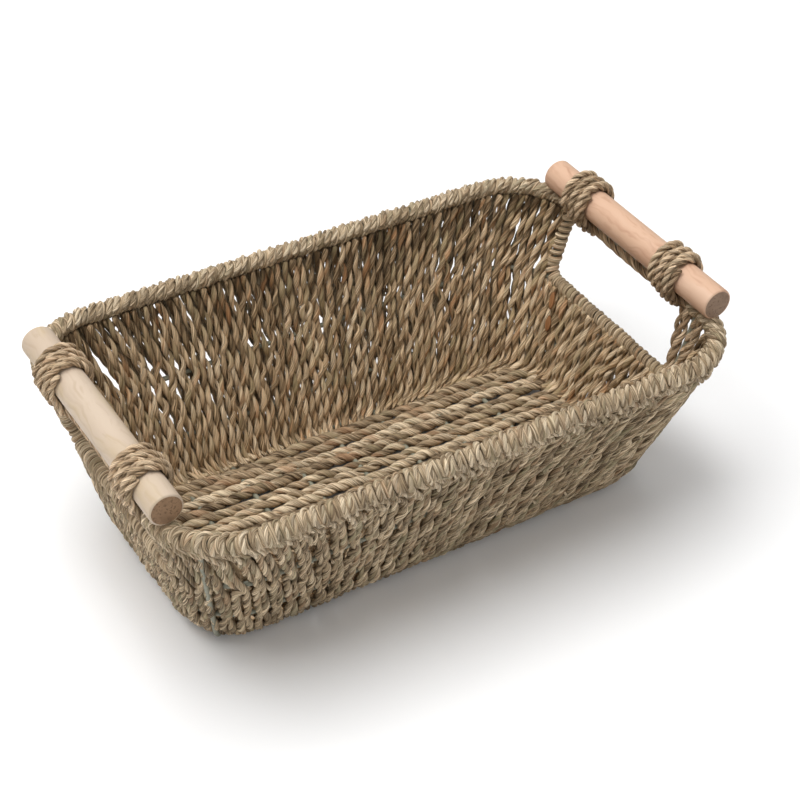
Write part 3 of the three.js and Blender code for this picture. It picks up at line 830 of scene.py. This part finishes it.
def rim_loops(wall, settings, sx, sy, start, end, rng):
    """Close loops over the rim in one quarter, and bolder twisted strands with longer tails over them."""
    along = spaced(start, end, settings.loop_pitch, 0.0003, rng)
    count = len(along)
    radius, tail = rng.uniform(0.0025, 0.0034, count), rng.uniform(0.002, 0.006, count)
    slant = 0.0050 * rng.uniform(0.9, 1.1, count)
    lines, outward, share = rim_paths(wall, sx, sy, along, radius, 215, tail, slant)
    size = settings.loop_ply * (1 + wander(rng, count, len(share), 4, 0.14))
    size = size * rng.uniform(0.85, 1.1, (count, 1))
    taper = np.clip(1.25 - 0.75 * share ** 4, 0, 1)
    loops = sweep(lines, outward, size * taper, size * 1.15 * taper, 8, rng)
    loops["tone"] = 0.25 + 0.45 * loops["tone"]

    along = spaced(start, end, settings.strand_pitch, 0.0008, rng)
    count = len(along)
    radius, tail = rng.uniform(0.0036, 0.0043, count), rng.uniform(0.004, 0.013, count)
    slant = 0.0056 * rng.uniform(0.8, 1.2, count)
    lines, outward, share = rim_paths(wall, sx, sy, along, radius, 170, tail, slant)
    strands = plied(lines, outward, rng, 2, settings.strand_ply, settings.strand_lay, 0.8, 7, None, 0.85)
    strands["tone"] = 0.2 + 0.8 * strands["tone"]
    return merge([loops, strands])


def coil(route, outward, pitch, radius, ply, rng):
    """Strand wound round a route: route + r*(cos(p)*outward + sin(p)*sideways), p = 2 pi run / pitch."""
    run = run_lengths(route[None])[0]
    turns = run[-1] / pitch
    count = int(turns * 15)
    at = np.linspace(0, run[-1], count)
    centre = np.stack([np.interp(at, run, route[:, i]) for i in range(3)], axis=-1)
    face = unit(np.stack([np.interp(at, run, outward[:, i]) for i in range(3)], axis=-1))
    phase = 2 * np.pi * (at / pitch + wander(rng, 1, count, int(turns) + 2, 0.16)[0])
    tangent = unit(np.gradient(centre, axis=0))
    face = unit(face - (face * tangent).sum(-1, keepdims=True) * tangent)
    side = np.cross(tangent, face)
    reach = radius * (1 + wander(rng, 1, count, int(turns * 2) + 2, 0.12)[0])
    away = np.cos(phase)[:, None] * face + np.sin(phase)[:, None] * side
    line = centre + reach[:, None] * away
    size = ply * (1 + wander(rng, 1, count, int(turns * 2) + 2, 0.2))
    return sweep(line[None], away[None], size, size * 0.85, 8, rng)


def hole_route(wall, sx):
    """Line of a hand hole's edge on the wall: down the back post, along the sill, up the front post.

    Its corners are quarter circles on the unrolled wall."""
    top, corner, steps = RIM_Z - 0.005, 0.009, 60
    quarter = np.linspace(0, np.pi / 2, 9)
    bend_along = POST_Y - corner + corner * np.cos(quarter)
    bend_height = UPPER_Z + corner - corner * np.sin(quarter)
    down = np.linspace(top, UPPER_Z + corner, 9)[:-1]
    half_along = np.concatenate([np.full(8, POST_Y), bend_along])
    half_height = np.concatenate([down, bend_height])
    sill = np.linspace(POST_Y - corner, -(POST_Y - corner), steps)[1:-1]
    along = np.concatenate([half_along, sill, -half_along[::-1]])
    height = np.concatenate([half_height, np.full(len(sill), UPPER_Z), half_height[::-1]])
    points, out = wall.place(wall.slope(height), along, sx, 1.0)
    return points, out


def bare_cords(wall, sx, sy, rng):
    """Bare twisted cords that stand in for a wrapped post: from the sill's corner, fanned up to the rim."""
    count, stations = 5, 26
    share = np.linspace(0, 1, stations)
    heights = UPPER_Z + 0.001 + (RIM_Z - 0.002 - UPPER_Z) * share
    foot = POST_Y - 0.0055 + np.arange(count) * 0.0030
    head = POST_Y - 0.0105 + np.arange(count) * 0.0056
    along = foot[:, None] + (head - foot)[:, None] * share + wander(rng, count, stations, 3, 0.0006)
    levels = np.broadcast_to(wall.slope(heights), (count, stations, 5))
    points, out = wall.place(levels, along, sx, sy)
    points = points + np.array([0.001, -0.0012, 0.0008, -0.001, 0.0006])[:, None, None] * out
    return plied(points, -out, rng, 2, 0.00125, 0.016, 0.95, 8, None, 1.0)


def leaf_patches(wall, rng):
    """Two flat scraps of rust leaf on the wall below the far end of the right sill.

    Each runs straight down the wall: height = top - length * share, standing 4 mm inside the middle surface."""
    share = np.linspace(0, 1, 9)
    top, tall = np.array([[0.0035], [0.0165]]), np.array([[0.0095], [0.0080]])
    heights = UPPER_Z - top - tall * share
    along = POST_Y - np.array([[0.0110], [0.0135]]) - 0.0012 * share
    levels = wall.slope(heights.ravel()).reshape(2, 9, 5)
    points, out = wall.place(levels, along, 1.0, 1.0)
    wide = 0.0022 * np.sin(np.pi * (0.12 + 0.76 * share)) * np.ones((2, 1))
    return sweep(points - 0.0040 * out, -out, wide, 0.0005, 10, rng)


# ------------------------------------------------------------------ floor
def floor_rows(wall):
    """Two rows of cord for each packed hairpin: their ends, y and number.

    A row ends at the foot of the wall: x = a - c + sqrt(c^2 - (|y| - b + c)^2) past the corner's start."""
    a, b, c = wall.round_foot([np.radians(60)])[0, :3]
    nodes = sorted(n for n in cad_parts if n.startswith("floor_cord_"))
    lines = []
    for index, node in enumerate(nodes):
        low, high = node_box(node)
        for row, y in enumerate(((low[1] * 3 + high[1]) / 4, (low[1] + high[1] * 3) / 4)):
            past = max(abs(y) - (b - c), 0.0)
            reach = a - c + np.sqrt(c * c - min(past, c) ** 2) - 0.0005
            lines.append((-reach, reach, y, 2 * index + row))
    return nodes, lines


def floor_cord(line, settings, spacing, rng):
    """One row of the floor as a two-ply twisted cord.

    height = middle + sway*cos(pi * x / wire spacing + row * pi);  y wanders about the row's middle."""
    start, end, y, row = line
    stations = 130
    x = np.linspace(start, end, stations)
    rise = settings.sway * np.cos(np.pi * x / spacing + np.pi * row)
    sag = 0.0047 + rise + wander(rng, 1, stations, 14, 0.0005)[0]
    wave = wander(rng, 1, stations, 22, 0.0011)[0]
    path = np.stack([x, y + wave, sag], axis=-1)[None]
    up = np.broadcast_to(UP, path.shape)
    above = plied(path, up, rng, 2, settings.ply, settings.lay, 0.85, 8, None, 0.95, 0.2)
    below = path + np.array([0.0, settings.under_step, settings.under_drop])
    return merge([above, plied(below, up, rng, 2, settings.ply * 0.75, settings.lay, 0.7, 6, None, 0.9)])


# ------------------------------------------------------------------ handles
def lashing_outline(radius_top, radius_low, centre_top, centre_low, steps):
    """Closed belt round two circles in the X-Z plane: (points, outward directions) by turning once.

    Each outward direction touches the circle whose support centre . direction + radius is larger."""
    turn = np.linspace(0, 2 * np.pi, steps, endpoint=False)
    out = np.stack([np.cos(turn), np.sin(turn)], axis=-1)
    top = centre_top + radius_top * out
    low = centre_low + radius_low * out
    use_top = ((top * out).sum(-1) >= (low * out).sum(-1))[:, None]
    return np.where(use_top, top, low), out


def belt(turns, centre_top, centre_low, radius_top, radius_low, y_start, y_end, steps, rng, start):
    """Cord line wound round a dowel and the rim below it, moving along Y from start to end."""
    outline, out = lashing_outline(radius_top, radius_low, centre_top, centre_low, 96)
    loop = np.vstack([outline, outline[:1]])
    run = np.concatenate([[0], np.cumsum(np.linalg.norm(np.diff(loop, axis=0), axis=1))])
    at = (np.linspace(0, turns, steps) + start) % 1.0 * run[-1]
    x = np.interp(at, run, loop[:, 0])
    z = np.interp(at, run, loop[:, 1])
    dirs = np.vstack([out, out[:1]])
    ox, oz = np.interp(at, run, dirs[:, 0]), np.interp(at, run, dirs[:, 1])
    y = np.linspace(y_start, y_end, steps) + wander(rng, 1, steps, int(turns * 3) + 2, 0.0006)[0]
    points = np.stack([x, y, z], axis=-1)
    outward = np.stack([ox, 0 * ox, oz], axis=-1)
    return points[None], unit(outward)[None]


def dowel_shape(low, high):
    """Round rod along Y with softened edges and flat ends, which are the triangles.

    An edge rounds by  radius = full - ease + ease * sin(t),  y = end + ease - ease * cos(t)."""
    radius = (high[0] - low[0]) / 2
    centre = (low + high) / 2
    ease = 0.0009
    bend = np.linspace(0, np.pi / 2, 5)
    edge_y = low[1] + ease - ease * np.cos(bend)
    edge_r = radius - ease + ease * np.sin(bend)
    along = np.linspace(low[1] + 2 * ease, high[1] - 2 * ease, 40)
    y = np.concatenate([edge_y, along, (low + high)[1] - edge_y[::-1]])
    r = np.concatenate([edge_r, np.full(40, radius), edge_r[::-1]])
    sides = 72
    turn = np.arange(sides) * 2 * np.pi / sides
    ring = r[:, None] * np.ones(sides)
    points = np.stack([centre[0] + ring * np.cos(turn), np.broadcast_to(y[:, None], ring.shape),
                       centre[2] + ring * np.sin(turn)], axis=-1)
    quads, caps = tube_faces(len(y), sides)
    poles = np.array([[centre[0], low[1], centre[2]], [centre[0], high[1], centre[2]]])
    all_points = np.concatenate([points.reshape(-1, 3), poles])
    return {"points": all_points, "quads": quads, "triangles": caps,
            "grain": all_points.copy(), "tone": np.zeros(len(all_points))}


# ------------------------------------------------------------------ operators
class BASKET_OT_wires(bpy.types.Operator):
    """Make the coated wires of the frame"""

    bl_idname = "basket.wires"
    bl_label = "Wire Frame"

    def execute(self, context):
        wall = Wall(context.scene.basket_shape)
        rng = np.random.default_rng(3)
        material = coated_wire()

        def make(node, path, outward, radius, closed=False):
            """One round wire; its name has round for wire, or at its end."""
            name = node.replace("_wire", "_round") if "_wire" in node else f"{node}_round"
            shape = sweep(path, outward, radius, radius, 12, rng, closed)
            piece(name, shape, material, [node])

        ring_angle = np.arcsin((wall.centre - RING_Z) / wall.radius)
        hoops = {
            "rim_wire": (wall.slope([RIM_Z]), RIM_WIRE),
            "upper_hoop_wire": (wall.slope([UPPER_Z]), HOOP_WIRE),
            "lower_hoop_wire": (wall.slope([LOWER_Z]), HOOP_WIRE),
            "base_ring_wire": (wall.round_foot([ring_angle]), HOOP_WIRE),
        }
        for node, (level, radius) in hoops.items():
            quarter = wall.quarter(level)[0]
            at = np.linspace(0, quarter, 70)
            parts = []
            for sx, sy, order in ((1, 1, 1), (-1, 1, -1), (-1, -1, 1), (1, -1, -1)):
                stretch = np.broadcast_to(level[0], (len(at), 5))
                points = wall.place(stretch, at, sx, sy)[0]
                parts.append(points[::order][:-1])
            path = np.concatenate(parts)[None]
            make(node, path, np.broadcast_to(UP, path.shape), radius, closed=True)
        for node in sorted(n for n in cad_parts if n.startswith("base_cross_wire_")):
            low, high = node_box(node)
            middle, share = (low + high) / 2, np.linspace(0, 1, 8)[:, None]
            front, back = (np.array([middle[0], y, middle[2]]) for y in (low[1], high[1]))
            path = (front * (1 - share) + back * share)[None]
            make(node, path, np.broadcast_to(UP, path.shape), HOOP_WIRE)
        for end, sx in ENDS.items():
            for side, sy in SIDES.items():
                node = f"corner_upright_{end}_{side}"
                low, high = node_box(node)
                levels = np.vstack([
                    wall.slope(np.linspace(high[2] - HOOP_WIRE, wall.bend, 20, endpoint=False)),
                    wall.round_foot(np.linspace(wall.lean, np.radians(50), 5)),
                ])
                along = levels[:, 1] - levels[:, 2] + np.pi / 4 * levels[:, 2]
                points, out = wall.place(levels, along, sx, sy)
                make(node, (points + 0.0023 * out)[None], out[None], HOOP_WIRE)
                node = f"hand_hole_post_{end}_{side}"
                low, high = node_box(node)
                levels = wall.slope(np.linspace(high[2], low[2], 8))
                points, out = wall.place(levels, np.full(8, POST_Y), sx, sy)
                make(node, points[None], out[None], HOOP_WIRE)
        return {"FINISHED"}


class BASKET_OT_walls(bpy.types.Operator):
    """Make the ropes outside the walls and the cords inside them"""

    bl_idname = "basket.walls"
    bl_label = "Woven Walls"

    def execute(self, context):
        wall = Wall(context.scene.basket_shape)
        settings = context.scene.basket_wall
        seed = 10
        for side, sy in SIDES.items():
            make_wall(f"wall_{side}", [f"woven_wall_{side}"], wall, settings, 1.0, sy, "side", seed)
            seed += 1
        for end, sx in ENDS.items():
            make_wall(f"end_{end}", [f"woven_end_{end}"], wall, settings, sx, 1.0, "end", seed)
            seed += 1
            for side, sy in SIDES.items():
                node = f"woven_corner_{end}_{side}"
                open_share = 0.09 if (end, side) == ("right", "front") else 0.0
                name = f"corner_{end}_{side}"
                make_wall(name, [node], wall, settings, sx, sy, "corner", seed, open_share)
                seed += 1
        return {"FINISHED"}


class BASKET_OT_rim(bpy.types.Operator):
    """Make the loops over the rim"""

    bl_idname = "basket.rim"
    bl_label = "Rim Loops"

    def execute(self, context):
        wall = Wall(context.scene.basket_shape)
        settings = context.scene.basket_rim
        material = seagrass("rim_strands")
        rim = wall.slope([RIM_Z])
        quarter = wall.quarter(rim)[0]
        side_start = quarter - node_box("woven_wall_front")[1][0]
        rng = np.random.default_rng(40)
        for side, sy in SIDES.items():
            halves = [rim_loops(wall, settings, sx, sy, side_start, quarter, rng) for sx in (-1.0, 1.0)]
            piece(f"rim_loops_{side}", merge(halves), material, [f"rim_wrap_{side}"])
            for end, sx in ENDS.items():
                shape = rim_loops(wall, settings, sx, sy, POST_Y - 0.005, side_start, rng)
                node = f"rim_wrap_corner_{end}_{side}"
                piece(f"rim_loops_{end}_{side}", shape, material, [node])
        return {"FINISHED"}


class BASKET_OT_hand_holes(bpy.types.Operator):
    """Make the wound edges of the hand holes"""

    bl_idname = "basket.hand_holes"
    bl_label = "Hand Hole Edges"

    def execute(self, context):
        wall = Wall(context.scene.basket_shape)
        settings = context.scene.basket_rim
        rng = np.random.default_rng(60)
        material = seagrass("floor_strands")
        for end, sx in ENDS.items():
            points, out = hole_route(wall, sx)
            cut = len(points) - {"left": 0, "right": 11}[end]
            shape = coil(points[:cut], out[:cut], settings.coil_pitch, 0.0026, settings.coil_ply, rng)
            nodes = [f"hand_hole_sill_wrap_{end}", f"hand_hole_post_wrap_{end}_back"]
            if end == "left":
                nodes.append("hand_hole_post_wrap_left_front")
            piece(f"hand_hole_coil_{end}", shape, material, nodes)
        piece("hand_hole_cords_right_front", bare_cords(wall, 1.0, -1.0, rng), seagrass("lashing_strands"),
              ["hand_hole_post_wrap_right_front"])
        piece("leaf_patches_right", leaf_patches(wall, rng), seagrass("rust_leaf"),
              ["woven_end_right"])
        return {"FINISHED"}


class BASKET_OT_floor(bpy.types.Operator):
    """Make the cords of the floor"""

    bl_idname = "basket.floor"
    bl_label = "Floor Cords"

    def execute(self, context):
        settings = context.scene.basket_floor
        rng = np.random.default_rng(80)
        nodes, lines = floor_rows(Wall(context.scene.basket_shape))
        wires = sorted(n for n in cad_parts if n.startswith("base_cross_wire_"))
        spacing = float(node_box(wires[1])[0][0] - node_box(wires[0])[0][0])
        material = seagrass("floor_strands")
        for index, node in enumerate(nodes):
            rows = lines[2 * index:2 * index + 2]
            pair = merge([floor_cord(line, settings, spacing, rng) for line in rows])
            piece(f"{node}_twisted", pair, material, [node])
        return {"FINISHED"}


class BASKET_OT_dowels(bpy.types.Operator):
    """Make the two wooden dowels"""

    bl_idname = "basket.dowels"
    bl_label = "Dowels"

    def execute(self, context):
        settings = context.scene.basket_handle
        looks = {
            "left": (wood("wood_pale", tuple(settings.pale_wood), (0.45, 0.34, 0.24),
                          (0.52, 0.40, 0.23), 0.65, 0.5),
                     end_grain("end_grain_pale", (0.29, 0.175, 0.095), (0.15, 0.085, 0.045)), "wood_pale"),
            "right": (wood("wood_tan", tuple(settings.tan_wood), (0.46, 0.25, 0.155),
                           (0.68, 0.47, 0.34), 0.75, 0.6),
                      end_grain("end_grain_tan", (0.30, 0.20, 0.135), (0.20, 0.125, 0.08)), "wood_tan"),
        }
        for end, (barrel, sawn, slot) in looks.items():
            node = f"dowel_{end}"
            shape = dowel_shape(*node_box(node))
            made = piece(f"{node}_rod", shape, barrel, [node])
            made.data.materials.append(sawn)
            faces = np.zeros(len(made.data.polygons), np.int32)
            faces[len(shape["quads"]):] = 1
            made.data.polygons.foreach_set("material_index", faces)
            made.data.polygons.foreach_set("use_smooth", faces == 0)
        return {"FINISHED"}


class BASKET_OT_lashings(bpy.types.Operator):
    """Make the lashings that hold the dowels to the rim, and the cords along the rim under them"""

    bl_idname = "basket.lashings"
    bl_label = "Lashings"

    def execute(self, context):
        wall = Wall(context.scene.basket_shape)
        settings = context.scene.basket_handle
        rng = np.random.default_rng(100)
        material = seagrass("lashing_strands")
        slips, paler = {"left": -0.003, "right": 0.0}, {"left": 0.35, "right": 0.0}
        sags = {"left": 0.0, "right": 0.0018}
        margin, lay = 0.0021, 0.0105
        for end, sx in ENDS.items():
            low, high = node_box(f"dowel_{end}")
            middle, radius = (low + high) / 2, (high[0] - low[0]) / 2
            top = np.array([middle[0], middle[2]])
            rim = np.array([sx * RIM_A, RIM_Z])
            for side in SIDES:
                node = f"lashing_{end}_{side}"
                box_low, box_high = node_box(node)
                y0, y1 = box_low[1] + margin + slips[end], box_high[1] - margin + slips[end]
                shapes = []
                for belt_sizes in (
                    (settings.turns - 0.4, top, rim, radius + 0.0018, 0.0040, y0, y1, 460, rng, 0.3),
                    (2.4, top, rim, radius + 0.0032, 0.0050, y1 - 0.001, y0 + 0.002, 270, rng, 0.1),
                ):
                    lines, out = belt(*belt_sizes)
                    shapes.append(plied(lines, out, rng, 2, settings.cord_ply, lay, 0.95, 8))
                shape = merge(shapes)
                shape["tone"] = shape["tone"] + paler[end]
                piece(f"{node}_cord", shape, material, [node])
            stations = 110
            along = np.linspace(-POST_Y + 0.004, POST_Y - 0.004, stations)
            sag = sags[end] * np.cos(np.linspace(-np.pi / 2, np.pi / 2, stations))
            levels = wall.slope(RIM_Z - 0.0004 - sag)[None]
            path, out = wall.place(levels, along[None], sx, 1.0)
            up = np.broadcast_to(UP, path.shape)
            shape = plied(path, up, rng, 3, 0.00135, 0.021, 1.0, 8, None, 1.25)
            piece(f"rim_cord_{end}_twisted", shape, material, [f"rim_cord_{end}"])
        return {"FINISHED"}


class BASKET_OT_stage(bpy.types.Operator):
    """Make the camera, the lights and the plain floor"""

    bl_idname = "basket.stage"
    bl_label = "Stage"

    def execute(self, context):
        settings = context.scene.basket_stage
        scene = context.scene
        az, el, roll = settings.azimuth, settings.elevation, settings.roll
        back = Vector((np.sin(az) * np.cos(el), -np.cos(az) * np.cos(el), np.sin(el)))
        right = Vector((np.cos(az), np.sin(az), 0))
        up = back.cross(right)
        turned_right = right * np.cos(roll) + up * np.sin(roll)
        turned_up = up * np.cos(roll) - right * np.sin(roll)
        camera = bpy.data.objects.new("camera", bpy.data.cameras.new("camera"))
        scene.collection.objects.link(camera)
        camera.data.lens = settings.lens
        camera.data.sensor_width = 36
        camera.data.clip_start = 0.01
        place = Vector(settings.target) + back * settings.distance
        basis = Matrix((turned_right, turned_up, back)).transposed().to_4x4()
        camera.matrix_world = Matrix.Translation(place) @ basis
        scene.camera = camera

        mesh = bpy.data.meshes.new("floor_plane")
        reach = 4.0
        square = [(-reach, -reach, 0), (reach, -reach, 0), (reach, reach, 0), (-reach, reach, 0)]
        mesh.from_pydata(square, [], [(0, 1, 2, 3)])
        floor = bpy.data.objects.new("floor_plane", mesh)
        scene.collection.objects.link(floor)
        floor.location.z = -0.0004
        material, shader = surface("stage_white", 0.9)
        shader.inputs["Base Color"].default_value = (0.93, 0.93, 0.93, 1)
        mesh.materials.append(material)

        for name, spot, size, power in (
            ("key_light", (-0.45, 0.15, 1.6), 1.2, 25.0),
            ("fill_light", (-0.7, -1.4, 1.1), 1.4, 3.2),
            ("back_light", (0.5, 0.9, 1.5), 1.2, 5.0),
        ):
            lamp = bpy.data.lights.new(name, "AREA")
            lamp.size = size
            lamp.energy = power
            lit = bpy.data.objects.new(name, lamp)
            scene.collection.objects.link(lit)
            lit.location = spot
            aim = Vector((0, 0, 0.05)) - Vector(spot)
            lit.rotation_euler = aim.to_track_quat("-Z", "Y").to_euler()
        world = bpy.data.worlds.new("soft_room")
        world.use_nodes = True
        world.node_tree.nodes["Background"].inputs[0].default_value = (1, 1, 1, 1)
        world.node_tree.nodes["Background"].inputs[1].default_value = 0.42
        scene.world = world
        scene.view_settings.view_transform = "Standard"
        return {"FINISHED"}


class BASKET_PT_panel(bpy.types.Panel):
    """Lists the basket's settings and its steps"""

    bl_idname = "BASKET_PT_panel"
    bl_label = "Seagrass Basket"
    bl_space_type = "VIEW_3D"
    bl_region_type = "UI"
    bl_category = "Basket"

    def draw(self, context):
        for operator in OPERATORS:
            self.layout.operator(operator.bl_idname)
        for name, settings in SETTINGS.items():
            box = self.layout.box()
            for field in settings.__annotations__:
                box.prop(getattr(context.scene, name), field)


OPERATORS = (
    BASKET_OT_stage,
    BASKET_OT_wires,
    BASKET_OT_walls,
    BASKET_OT_rim,
    BASKET_OT_hand_holes,
    BASKET_OT_floor,
    BASKET_OT_dowels,
    BASKET_OT_lashings,
)


def register():
    """Registers the settings, the operators and the panel."""
    for name, settings in SETTINGS.items():
        bpy.utils.register_class(settings)
        setattr(bpy.types.Scene, name, PointerProperty(type=settings))
    for operator in OPERATORS:
        bpy.utils.register_class(operator)
    bpy.utils.register_class(BASKET_PT_panel)


def unregister():
    """Takes away what register added."""
    bpy.utils.unregister_class(BASKET_PT_panel)
    for operator in reversed(OPERATORS):
        bpy.utils.unregister_class(operator)
    for name, settings in reversed(SETTINGS.items()):
        delattr(bpy.types.Scene, name)
        bpy.utils.unregister_class(settings)


def main():
    """Builds the whole basket."""
    register()
    bpy.ops.basket.stage()
    bpy.ops.basket.wires()
    bpy.ops.basket.walls()
    bpy.ops.basket.rim()
    bpy.ops.basket.hand_holes()
    bpy.ops.basket.floor()
    bpy.ops.basket.dowels()
    bpy.ops.basket.lashings()


if __name__ == "__main__":
    main()
